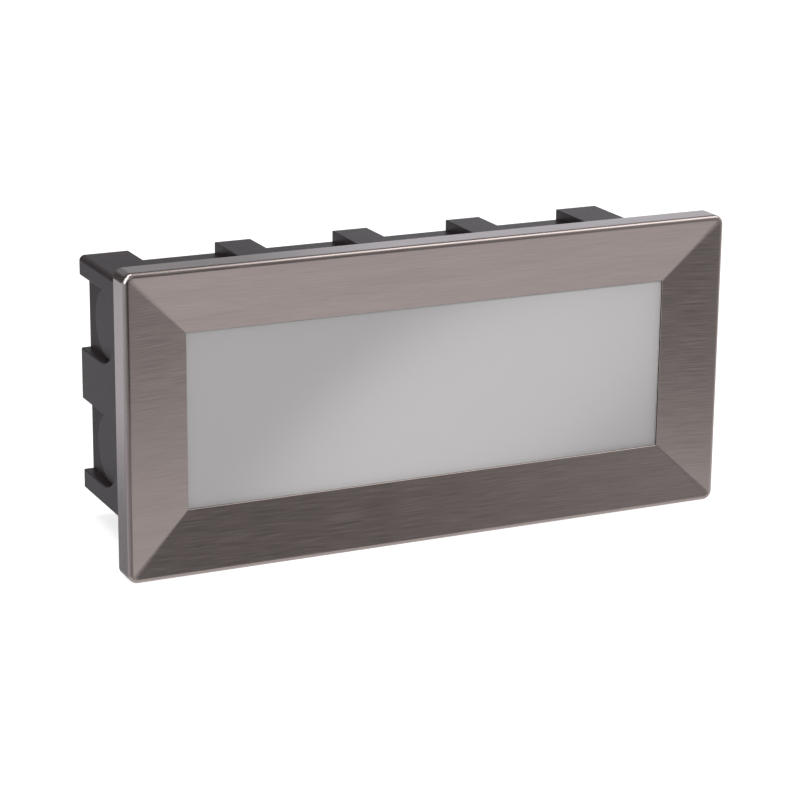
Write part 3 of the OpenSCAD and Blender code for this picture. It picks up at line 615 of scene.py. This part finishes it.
def box_mesh(size):
    """The moulded box as the solid has it, with its outer edges rounded, most of all the pockets' rims."""
    mesh = bmesh.new()
    mesh.from_mesh(frame["nodes"]["mounting_box"].data)
    bmesh.ops.remove_doubles(mesh, verts=mesh.verts, dist=SAME_SPOT)
    bmesh.ops.dissolve_limit(mesh, angle_limit=FLAT_TURN, verts=mesh.verts, edges=mesh.edges)

    def sharp(edge):
        return edge.calc_face_angle_signed(0) > EDGE_TURN

    def on_rim(vert):
        return abs(abs(vert.co.x) - size.box_half_w) < 10 * SAME_SPOT and abs(vert.co.z) < size.pocket_top

    round_off(mesh, [e for e in mesh.edges if sharp(e) and all(map(on_rim, e.verts))], size.pocket_rim)
    round_off(mesh, [e for e in mesh.edges if sharp(e)], size.box_edge)
    made = bpy.data.meshes.new("box")
    mesh.to_mesh(made)
    mesh.free()
    return made


# Fasteners and lamps, grown by node trees


def solids(node):
    """The lowest and highest corner of each separate solid of a CAD node."""
    mesh = bmesh.new()
    mesh.from_mesh(frame["nodes"][node].data)
    bmesh.ops.remove_doubles(mesh, verts=mesh.verts, dist=SAME_SPOT)
    left, found = set(mesh.verts), []
    while left:
        group, front = set(), [left.pop()]
        while front:
            vert = front.pop()
            group.add(vert)
            near = {e.other_vert(vert) for e in vert.link_edges} & left
            left -= near
            front.extend(near)
        spots = [v.co for v in group]
        low = Vector([min(c[i] for c in spots) for i in range(3)])
        high = Vector([max(c[i] for c in spots) for i in range(3)])
        found.append((low, high))
    mesh.free()
    return sorted(found, key=lambda box: tuple(round(c, 6) for c in box[0]))


def part_tree(name, labels, shape):
    """A node tree that sets the solid drawn by shape on every point, turned by Turn, in one finish."""
    tree = bpy.data.node_groups.new(name, "GeometryNodeTree")
    tree.is_modifier = True
    tree.interface.new_socket("Places", in_out="INPUT", socket_type="NodeSocketGeometry")
    for label in labels:
        tree.interface.new_socket(label, in_out="INPUT", socket_type="NodeSocketFloat")
    tree.interface.new_socket("Turn", in_out="INPUT", socket_type="NodeSocketVector")
    tree.interface.new_socket("Finish", in_out="INPUT", socket_type="NodeSocketMaterial")
    tree.interface.new_socket("Part", in_out="OUTPUT", socket_type="NodeSocketGeometry")
    given = add(tree, "NodeGroupInput").outputs
    solid = shape(tree, given)
    turn = add(tree, "FunctionNodeEulerToRotation", {"Euler": given["Turn"]}).outputs[0]
    grown = add(
        tree,
        "GeometryNodeInstanceOnPoints",
        {"Points": given["Places"], "Instance": solid, "Rotation": turn},
    )
    real = add(tree, "GeometryNodeRealizeInstances", {"Geometry": grown.outputs[0]})
    dressed = add(tree, "GeometryNodeSetMaterial", {"Geometry": real.outputs[0], "Material": given["Finish"]})
    add(tree, "NodeGroupOutput", {"Part": dressed.outputs[0]})
    return tree


def scaled(tree, solid, size, scale=(1, 1, 1), move=(0, 0, 0)):
    """A unit solid stretched by a size vector times scale, and moved by the size vector times move."""
    stretch = add(tree, "ShaderNodeVectorMath", {0: size, 1: scale}, operation="MULTIPLY").outputs[0]
    shift = add(tree, "ShaderNodeVectorMath", {0: size, 1: move}, operation="MULTIPLY").outputs[0]
    inputs = {"Geometry": solid, "Scale": stretch, "Translation": shift}
    return add(tree, "GeometryNodeTransform", inputs).outputs[0]


def sized(tree, given, x, y, z):
    """A size vector from three of a tree's inputs."""
    return add(tree, "ShaderNodeCombineXYZ", {"X": given[x], "Y": given[y], "Z": given[z]}).outputs[0]


def unit_cube(tree):
    return add(tree, "GeometryNodeMeshCube", {"Size": (1, 1, 1)}).outputs[0]


def unit_bar(tree, sides):
    return add(tree, "GeometryNodeMeshCylinder", {"Vertices": sides, "Radius": 1.0, "Depth": 1.0}).outputs[0]


def unit_ball(tree, segments, rings):
    settings = {"Segments": segments, "Rings": rings, "Radius": 1.0}
    return add(tree, "GeometryNodeMeshUVSphere", settings).outputs[0]


def carved(tree, solid, tool):
    """The solid less the tool, or less each of a tuple of tools."""
    both = {"Mesh 1": solid, "Mesh 2": tool}
    return add(tree, "GeometryNodeMeshBoolean", both, operation="DIFFERENCE").outputs[0]


def dome(tree, size):
    """Half an egg over z = 0, as wide and high as the size vector says."""
    egg = unit_ball(tree, 28, 16)
    cube = unit_cube(tree)
    below = scaled(tree, cube, size, (3, 3, 2), (0, 0, -1))
    return carved(tree, scaled(tree, egg, size), below)


def pan_head(tree, given):
    """A pan-head screw with a cross recess, its seat at z = 0 and its shank below."""
    head = sized(tree, given, "Head radius", "Head radius", "Head height")
    slit = sized(tree, given, "Head radius", "Recess width", "Head height")
    stem = sized(tree, given, "Shank radius", "Shank radius", "Shank length")
    cube = unit_cube(tree)
    arm = scaled(tree, cube, slit, (1.15, 1, 1), (0, 0, 1))
    other = add(tree, "GeometryNodeTransform", {"Geometry": arm, "Rotation": (0, 0, math.pi / 2)}).outputs[0]
    crossed = carved(tree, dome(tree, head), (arm, other))
    bar = unit_bar(tree, 24)
    shank = scaled(tree, bar, stem, (1, 1, 1), (0, 0, -0.5))
    return add(tree, "GeometryNodeJoinGeometry", {"Geometry": (crossed, shank)}).outputs[0]


def slotted(tree, given):
    """A headless screw below z = 0 with a slot across its top."""
    stem = sized(tree, given, "Shank radius", "Shank radius", "Shank length")
    slit = sized(tree, given, "Shank radius", "Slot width", "Shank radius")
    bar = unit_bar(tree, 28)
    cube = unit_cube(tree)
    return carved(tree, scaled(tree, bar, stem, (1, 1, 1), (0, 0, -0.5)), scaled(tree, cube, slit, (3, 1, 1)))


def hex_nut(tree, given):
    """A hexagon nut on z = 0 with rounded corners and a bore."""
    size = sized(tree, given, "Nut radius", "Nut radius", "Nut height")
    bore = sized(tree, given, "Bore radius", "Bore radius", "Nut height")
    hexagon = unit_bar(tree, 6)
    round_bar = unit_bar(tree, 28)
    ball = unit_ball(tree, 36, 18)
    both = (scaled(tree, hexagon, size, (1, 1, 1), (0, 0, 0.5)), scaled(tree, ball, size, (1.01, 1.01, 2.2)))
    rounded = add(tree, "GeometryNodeMeshBoolean", {"Mesh 2": both}, operation="INTERSECT").outputs[0]
    return carved(tree, rounded, scaled(tree, round_bar, bore, (1, 1, 4)))


def rivet(tree, given):
    """A rivet whose grip lies below z = 0, with a domed head at either end."""
    head = sized(tree, given, "Head radius", "Head radius", "Head height")
    stem = sized(tree, given, "Shank radius", "Shank radius", "Grip")
    bar = unit_bar(tree, 24)
    shank = scaled(tree, bar, stem, (1, 1, 1), (0, 0, -0.5))
    upturned = {"Geometry": dome(tree, head), "Rotation": (math.pi, 0, 0)}
    closing = add(tree, "GeometryNodeTransform", upturned).outputs[0]
    down = add(tree, "ShaderNodeVectorMath", {0: stem, 1: (0, 0, -1)}, operation="MULTIPLY").outputs[0]
    far = add(tree, "GeometryNodeTransform", {"Geometry": closing, "Translation": down}).outputs[0]
    return add(tree, "GeometryNodeJoinGeometry", {"Geometry": (dome(tree, head), shank, far)}).outputs[0]


def lamp_package(tree, given):
    """A lamp's white package on z = 0, with a round well for its phosphor."""
    size = sized(tree, given, "Length", "Width", "Height")
    well = sized(tree, given, "Well radius", "Well radius", "Height")
    cube = unit_cube(tree)
    bar = unit_bar(tree, 28)
    block = scaled(tree, cube, size, (1, 1, 1), (0, 0, 0.5))
    return carved(tree, block, scaled(tree, bar, well, (1, 1, 1), (0, 0, 1.1)))


def lamp_fill(tree, given):
    """The phosphor that fills a lamp's well, low and domed."""
    size = sized(tree, given, "Well radius", "Well radius", "Height")
    return scaled(tree, dome(tree, (1, 1, 1)), size, (0.99, 0.99, 0.38), (0, 0, 0.6))


def grow(name, node, shape, slot, places, turn, values):
    """Grows a shape on places, keeps it as one plain mesh on the node's body, and stands it for the node."""
    points = bpy.data.meshes.new(name)
    points.from_pydata([tuple(p) for p in places], [], [])
    maker = bpy.data.objects.new(name + "_places", points)
    bpy.context.scene.collection.objects.link(maker)
    tree = part_tree(name, values, shape)
    modifier = maker.modifiers.new("grow", "NODES")
    modifier.node_group = tree
    given = dict(values, Turn=turn, Finish=finish(slot))
    for item in tree.interface.items_tree:
        if item.in_out == "INPUT" and item.name in given:
            modifier[item.identifier] = given[item.name]
    graph = bpy.context.evaluated_depsgraph_get()
    mesh = bpy.data.meshes.new_from_object(maker.evaluated_get(graph), depsgraph=graph)
    bpy.data.objects.remove(maker)
    if not mesh.polygons:
        raise RuntimeError(f"{name} came out empty")
    return keep(name, mesh, body_of(node), slot, node)


def body_of(node):
    return next(body for body, nodes in frame["record"]["behaviour"]["bodies"].items() if node in nodes)


FRONT_TURN = (math.pi / 2, 0, 0)
REAR_TURN = (-math.pi / 2, 0, 0)


def grow_screws(node, head_rise, shank_r, recess_w, from_front=True):
    """Pan-head screws where a CAD node has its screws, driven from the front or from behind."""
    boxes = solids(node)
    low, high = boxes[0]
    seat = low.y + head_rise if from_front else high.y - head_rise
    length = high.y - seat if from_front else seat - low.y
    places = [((lo.x + hi.x) / 2, seat, (lo.z + hi.z) / 2) for lo, hi in boxes]
    values = {
        "Head radius": (high.x - low.x) / 2,
        "Head height": head_rise,
        "Shank radius": shank_r,
        "Shank length": length,
        "Recess width": recess_w,
    }
    grow(node, node, pan_head, slot_of(node), places, FRONT_TURN if from_front else REAR_TURN, values)


# Operators


class CoverOperator(bpy.types.Operator):
    """Press the steel cover and dress what it carries"""

    bl_idname = "wall_light.cover"
    bl_label = "Steel cover"

    def execute(self, context):
        mesh = cover_mesh(context.scene.wall_light_sizes)
        piece = keep("steel_cover", mesh, "cover", "brushed_stainless", "bezel")
        # The window's cut edge takes the darkened cut-edge finish, whose dark colour is painted shade.
        piece.data.materials.append(finish("sheared_stainless"))
        even_normals(piece)
        return {"FINISHED"}


class GlassOperator(bpy.types.Operator):
    """Dress the glass, its rubber and its frame"""

    bl_idname = "wall_light.glass"
    bl_label = "Glass and frame"

    def execute(self, context):
        dress("diffuser_glass", "glass_gasket", "glass_frame", "frame_seal", "weld_studs", "spring_clips")
        return {"FINISHED"}


class BoxOperator(bpy.types.Operator):
    """Round the moulded box's edges and dress its cable entry"""

    bl_idname = "wall_light.box"
    bl_label = "Mounting box"

    def execute(self, context):
        mesh = box_mesh(context.scene.wall_light_sizes)
        piece = keep("box_shell", mesh, "box", "box_plastic", "mounting_box")
        even_normals(piece)
        dress("cable_grommet", "cord_clamp")
        return {"FINISHED"}


class LampOperator(bpy.types.Operator):
    """Dress the tray, reflector and board, and set the lamps on the board"""

    bl_idname = "wall_light.lamp"
    bl_label = "Lamp tray"

    def execute(self, context):
        dress("gear_tray", "reflector", "led_board")
        boxes = solids("leds")
        low, high = boxes[0]
        places = [((lo.x + hi.x) / 2, hi.y, (lo.z + hi.z) / 2) for lo, hi in boxes]
        well = {"Well radius": context.scene.wall_light_sizes.lamp_well_r, "Height": high.y - low.y}
        package = dict(well, Length=high.x - low.x, Width=high.z - low.z)
        grow("lamp_packages", "leds", lamp_package, slot_of("reflector"), places, FRONT_TURN, package)
        grow("lamp_phosphor", "leds", lamp_fill, slot_of("leds"), places, FRONT_TURN, well)
        return {"FINISHED"}


class WiringOperator(bpy.types.Operator):
    """Dress the driver, the terminals and the leads"""

    bl_idname = "wall_light.wiring"
    bl_label = "Driver and wiring"

    def execute(self, context):
        dress("driver_case", "driver_lid", "terminal_block", "terminal_clamps", "earth_tag")
        dress("live_lead", "neutral_lead", "earth_lead", "led_leads")
        return {"FINISHED"}


class FastenerOperator(bpy.types.Operator):
    """Grow the screws, nuts and rivets"""

    bl_idname = "wall_light.fasteners"
    bl_label = "Fasteners"

    def execute(self, context):
        size = context.scene.wall_light_sizes
        grow_screws("tray_screws", size.tray_head_rise, size.tray_shank_r, size.recess_w)
        grow_screws("board_screws", size.head_rise, size.small_shank_r, size.recess_w)
        grow_screws("cord_clamp_screws", size.head_rise, size.small_shank_r, size.recess_w)
        grow_screws("terminal_fixings", size.block_head_rise, size.small_shank_r, size.recess_w)
        grow_screws("driver_screws", size.head_rise, size.small_shank_r, size.recess_w, from_front=False)
        grow_screws("earth_screw", size.head_rise, size.small_shank_r, size.recess_w, from_front=False)
        self.grow_terminal_screws(size)
        self.grow_nuts()
        self.grow_rivets(size)
        return {"FINISHED"}

    def grow_terminal_screws(self, size):
        boxes = solids("terminal_screws")
        low, high = boxes[0]
        values = {
            "Shank radius": (high.x - low.x) / 2,
            "Shank length": high.y - low.y,
            "Slot width": size.slot_w,
        }
        places = [((lo.x + hi.x) / 2, lo.y, (lo.z + hi.z) / 2) for lo, hi in boxes]
        grow("terminal_screws", "terminal_screws", slotted, "zinc_plated_steel", places, FRONT_TURN, values)

    def grow_nuts(self):
        boxes = solids("stud_nuts")
        low, high = boxes[0]
        stud_low, stud_high = solids("weld_studs")[0]
        radius = max(high.x - low.x, high.z - low.z) / 2
        bore_r = (stud_high.x - stud_low.x) / 2 + BORE_GAP
        values = {"Nut radius": radius, "Nut height": high.y - low.y, "Bore radius": bore_r}
        places = [((lo.x + hi.x) / 2, lo.y, (lo.z + hi.z) / 2) for lo, hi in boxes]
        grow("stud_nuts", "stud_nuts", hex_nut, slot_of("stud_nuts"), places, REAR_TURN, values)

    def grow_rivets(self, size):
        boxes = solids("clip_rivets")
        low, high = boxes[0]
        values = {
            "Head radius": (high.x - low.x) / 2,
            "Head height": size.rivet_rise,
            "Shank radius": size.rivet_r,
            "Grip": high.z - low.z - 2 * size.rivet_rise,
        }
        places = [((lo.x + hi.x) / 2, (lo.y + hi.y) / 2, hi.z - size.rivet_rise) for lo, hi in boxes]
        grow("clip_rivets", "clip_rivets", rivet, slot_of("clip_rivets"), places, (0, 0, 0), values)


FLOOR_REACH = 4.0
LAMPS = {  # width and height, and place; each faces the origin
    "key": ((0.9, 0.6), (-0.1, -1.2, 0.45)),
    "overhead": ((0.8, 0.9), (0.85, -0.15, 1.2)),
    "strip": ((0.5, 0.7), (-0.3, 0.1, 1.1)),
}
BEAM_PLACE = (-0.67, -0.96, 0.55)
BEAM_TARGET = (0.025, 0, -0.01)
BEAM_SPREAD = math.radians(10.5)
BEAM_SOFTNESS = 0.005
BEAM_NARROWING = 0.33
CARD_FRONT, CARD_REAR, CARD_LEFT = -0.7, 1.2, -1.0
ACROSS, INWARDS, UPWARDS = (1, 0, 0), (0, 1, 0), (0, 0, 1)
WHITE, COOL_WHITE = "#ffffff", "#f6f8ff"


def upright(depth, *spots):
    """The corners of a card that stands at one depth, each given as (x, z)."""
    return [(x, depth, z) for x, z in spots]


# Corners, colour, the way that the card's shade runs, and (place, tone) at the shade's start and end.
CARDS = {
    "front_card": (
        upright(CARD_FRONT, (-1.0, -0.1), (0.1, -0.23), (1.3, -0.38), (1.3, 0.9), (-1.0, 0.9)),
        WHITE, ACROSS, (0.13, 0.1), (0.5, 0.46),
    ),
    "knee_card": (
        upright(CARD_FRONT, (-1.0, -0.6), (0.05, -0.6), (0.1, -0.23), (-1.0, -0.1)),
        WHITE, ACROSS, (-0.7, 0.5), (0.0, 0.4),
    ),
    "rear_card": (
        upright(CARD_REAR, (-0.4, -0.1), (1.6, -0.1), (1.6, 0.62), (-0.4, 0.62)),
        COOL_WHITE, ACROSS, (0.42, 0.56), (0.53, 1.0),
    ),
    "ceiling_card": (
        upright(CARD_REAR, (-2.0, -0.25), (-0.4, -0.25), (-0.4, 0.62), (1.6, 0.62), (1.6, 3.0), (-2.0, 3.0)),
        WHITE, ACROSS, (-0.5, 0.08), (1.2, 0.3),
    ),
    "low_card": (
        upright(CARD_REAR, (-1.2, -0.9), (-0.1, -0.9), (-0.1, -0.25), (-1.2, -0.25)),
        COOL_WHITE, UPWARDS, (-0.46, 0.41), (-0.385, 0.95),
    ),
    "left_card": (
        [
            (CARD_LEFT, CARD_FRONT, -0.7),
            (CARD_LEFT, CARD_REAR, -0.7),
            (CARD_LEFT, CARD_REAR, 0.0),
            (CARD_LEFT, CARD_FRONT, 0.0),
        ],
        COOL_WHITE, INWARDS, (-0.7, 0.55), (0.3, 0.85),
    ),
    "corner_card": (
        [(CARD_LEFT, -0.9, -0.05), (-0.4, -0.9, 0.7), (-0.4, -0.1, 0.7), (CARD_LEFT, -0.1, -0.05)],
        WHITE, ACROSS, (-1.0, 5.0), (-0.25, 5.0),
    ),
}


class StageOperator(bpy.types.Operator):
    """Set up the floor, the lamps and the camera"""

    bl_idname = "wall_light.stage"
    bl_label = "Studio"

    def execute(self, context):
        studio = context.scene.wall_light_studio
        self.light_world(context.scene, studio)
        self.lay_floor(context.scene, studio)
        self.hang_cards(context.scene)
        for name, (size, place) in LAMPS.items():
            self.hang_lamp(context.scene, name, getattr(studio, name), size, place)
        self.aim_beam(context.scene, studio)
        self.set_camera(context.scene, studio)
        context.scene.view_settings.view_transform = "Standard"
        return {"FINISHED"}

    def light_world(self, scene, studio):
        """White wherever the world is seen, directly or in gloss and glass, and a plain fill elsewhere."""
        world = bpy.data.worlds.new("studio")
        scene.world = world
        tree = emptied(world)
        path = add(tree, "ShaderNodeLightPath").outputs
        seen = maths(tree, "MAXIMUM", path["Is Camera Ray"], path["Is Glossy Ray"])
        seen = maths(tree, "MAXIMUM", seen, path["Is Transmission Ray"])
        strength = add(tree, "ShaderNodeMapRange", {"Value": seen, "To Min": studio.fill, "To Max": 1.0})
        sky = add(tree, "ShaderNodeBackground", {"Color": (1, 1, 1, 1), "Strength": strength.outputs[0]})
        add(tree, "ShaderNodeOutputWorld", {"Surface": sky.outputs[0]})

    def lay_flat(self, scene, name, corners, material):
        """A flat piece of the studio, with one face."""
        mesh = bpy.data.meshes.new(name)
        mesh.from_pydata(corners, [], [tuple(range(len(corners)))])
        mesh.materials.append(material)
        piece = bpy.data.objects.new(name, mesh)
        scene.collection.objects.link(piece)
        return piece

    def lay_floor(self, scene, studio):
        """A wide pale floor under the cover, lifted to white for the camera but for the shadow on it."""
        level = cad_box[0][2]
        ways = ((-1, -1), (1, -1), (1, 1), (-1, 1))
        corners = [(x * FLOOR_REACH, y * FLOOR_REACH, level) for x, y in ways]
        paper = bpy.data.materials.new("floor_paper")
        floor = self.lay_flat(scene, "floor", corners, paper)
        tree = emptied(paper)
        path = add(tree, "ShaderNodeLightPath").outputs
        lift = maths(tree, "MULTIPLY", path["Is Camera Ray"], studio.floor_lift)
        matt = add(tree, "ShaderNodeBsdfDiffuse", {"Color": list(bpy.context.scene.wall_light_colours.floor)})
        glow = add(tree, "ShaderNodeEmission", {"Color": (1, 1, 1, 1), "Strength": lift})
        both = add(tree, "ShaderNodeAddShader", {0: matt.outputs[0], 1: glow.outputs[0]})
        add(tree, "ShaderNodeOutputMaterial", {"Surface": both.outputs[0]})
        floor.visible_glossy = False

    def hang_cards(self, scene):
        """Cards that only steel and gloss mirror, mostly dark, to give the pale room edges."""
        for name, card in CARDS.items():
            self.hang_card(scene, name, *card)

    def hang_card(self, scene, name, corners, colour, way, start, end):
        """A flat card, shaded along a way from one (place, tone) to the next."""
        board = bpy.data.materials.new(name)
        board.cycles.emission_sampling = "NONE"
        card = self.lay_flat(scene, name, corners, board)
        tree = emptied(board)
        spot = add(tree, "ShaderNodeTexCoord").outputs["Object"]
        place = add(tree, "ShaderNodeVectorMath", {0: spot, 1: way}, operation="DOT_PRODUCT").outputs["Value"]
        tone = add(
            tree,
            "ShaderNodeMapRange",
            {"Value": place, "From Min": start[0], "From Max": end[0], "To Min": start[1], "To Max": end[1]},
        )
        glow = add(tree, "ShaderNodeEmission", {"Color": linear(colour), "Strength": tone.outputs[0]})
        add(tree, "ShaderNodeOutputMaterial", {"Surface": glow.outputs[0]})
        card.visible_camera = card.visible_diffuse = card.visible_shadow = card.visible_transmission = False

    def aim_beam(self, scene, studio):
        """A soft-edged beam, narrower one way, that lays a slanting band of light over the glass."""
        data = bpy.data.lights.new("beam", "SPOT")
        data.energy = studio.beam
        data.shadow_soft_size = BEAM_SOFTNESS
        data.spot_size = BEAM_SPREAD
        data.spot_blend = 1.0
        lamp = bpy.data.objects.new("beam", data)
        place = Vector(BEAM_PLACE)
        back = (place - Vector(BEAM_TARGET)).normalized()
        along = Vector((math.cos(studio.beam_slant), 0, math.sin(studio.beam_slant)))
        along = (along - along.project(back)).normalized()
        turn = Matrix((along, back.cross(along), back)).transposed()
        narrow = Matrix.Diagonal((1, BEAM_NARROWING, 1, 1))
        lamp.matrix_world = Matrix.Translation(place) @ turn.to_4x4() @ narrow
        scene.collection.objects.link(lamp)

    def hang_lamp(self, scene, name, power, size, place):
        """A soft rectangular lamp that faces the light."""
        data = bpy.data.lights.new(name, "AREA")
        data.shape = "RECTANGLE"
        data.size, data.size_y = size
        data.energy = power
        lamp = bpy.data.objects.new(name, data)
        lamp.location = place
        lamp.rotation_euler = (-Vector(place)).to_track_quat("-Z", "Y").to_euler()
        scene.collection.objects.link(lamp)

    def set_camera(self, scene, studio):
        """The camera that the photograph was solved to."""
        a, e = studio.azimuth, studio.elevation
        back = Vector((math.sin(a) * math.cos(e), -math.cos(a) * math.cos(e), math.sin(e)))
        right = Vector((math.cos(a), math.sin(a), 0))
        up = back.cross(right)
        data = bpy.data.cameras.new("camera")
        data.sensor_width = SENSOR_W
        data.lens = studio.focal_px * SENSOR_W / IMAGE_W
        camera = bpy.data.objects.new("camera", data)
        turn = Matrix((right, up, back)).transposed() @ Matrix.Rotation(studio.roll, 3, "Z")
        place = back * studio.distance + right * studio.aim_right + up * studio.aim_up
        camera.matrix_world = Matrix.Translation(place) @ turn.to_4x4()
        scene.collection.objects.link(camera)
        scene.camera = camera


class WallLightPanel(bpy.types.Panel):
    """Lists the steps that build the wall light"""

    bl_idname = "VIEW3D_PT_wall_light"
    bl_label = "Wall Light"
    bl_space_type = "VIEW_3D"
    bl_region_type = "UI"
    bl_category = "Wall Light"

    def draw(self, context):
        for operator in OPERATORS:
            self.layout.operator(operator.bl_idname)


OPERATORS = (
    CoverOperator,
    GlassOperator,
    BoxOperator,
    LampOperator,
    WiringOperator,
    FastenerOperator,
    StageOperator,
)
GROUPS = {
    "wall_light_sizes": WallLightSizes,
    "wall_light_colours": WallLightColours,
    "wall_light_studio": WallLightStudio,
}


def register():
    for group in GROUPS.values():
        bpy.utils.register_class(group)
    for name, group in GROUPS.items():
        setattr(bpy.types.Scene, name, PointerProperty(type=group))
    for kind in (*OPERATORS, WallLightPanel):
        bpy.utils.register_class(kind)


def unregister():
    for kind in (WallLightPanel, *reversed(OPERATORS)):
        bpy.utils.unregister_class(kind)
    for name, group in GROUPS.items():
        delattr(bpy.types.Scene, name)
        bpy.utils.unregister_class(group)


def main():
    register()
    bpy.ops.wall_light.cover()
    bpy.ops.wall_light.glass()
    bpy.ops.wall_light.box()
    bpy.ops.wall_light.lamp()
    bpy.ops.wall_light.wiring()
    bpy.ops.wall_light.fasteners()
    bpy.ops.wall_light.stage()


if __name__ == "__main__":
    main()
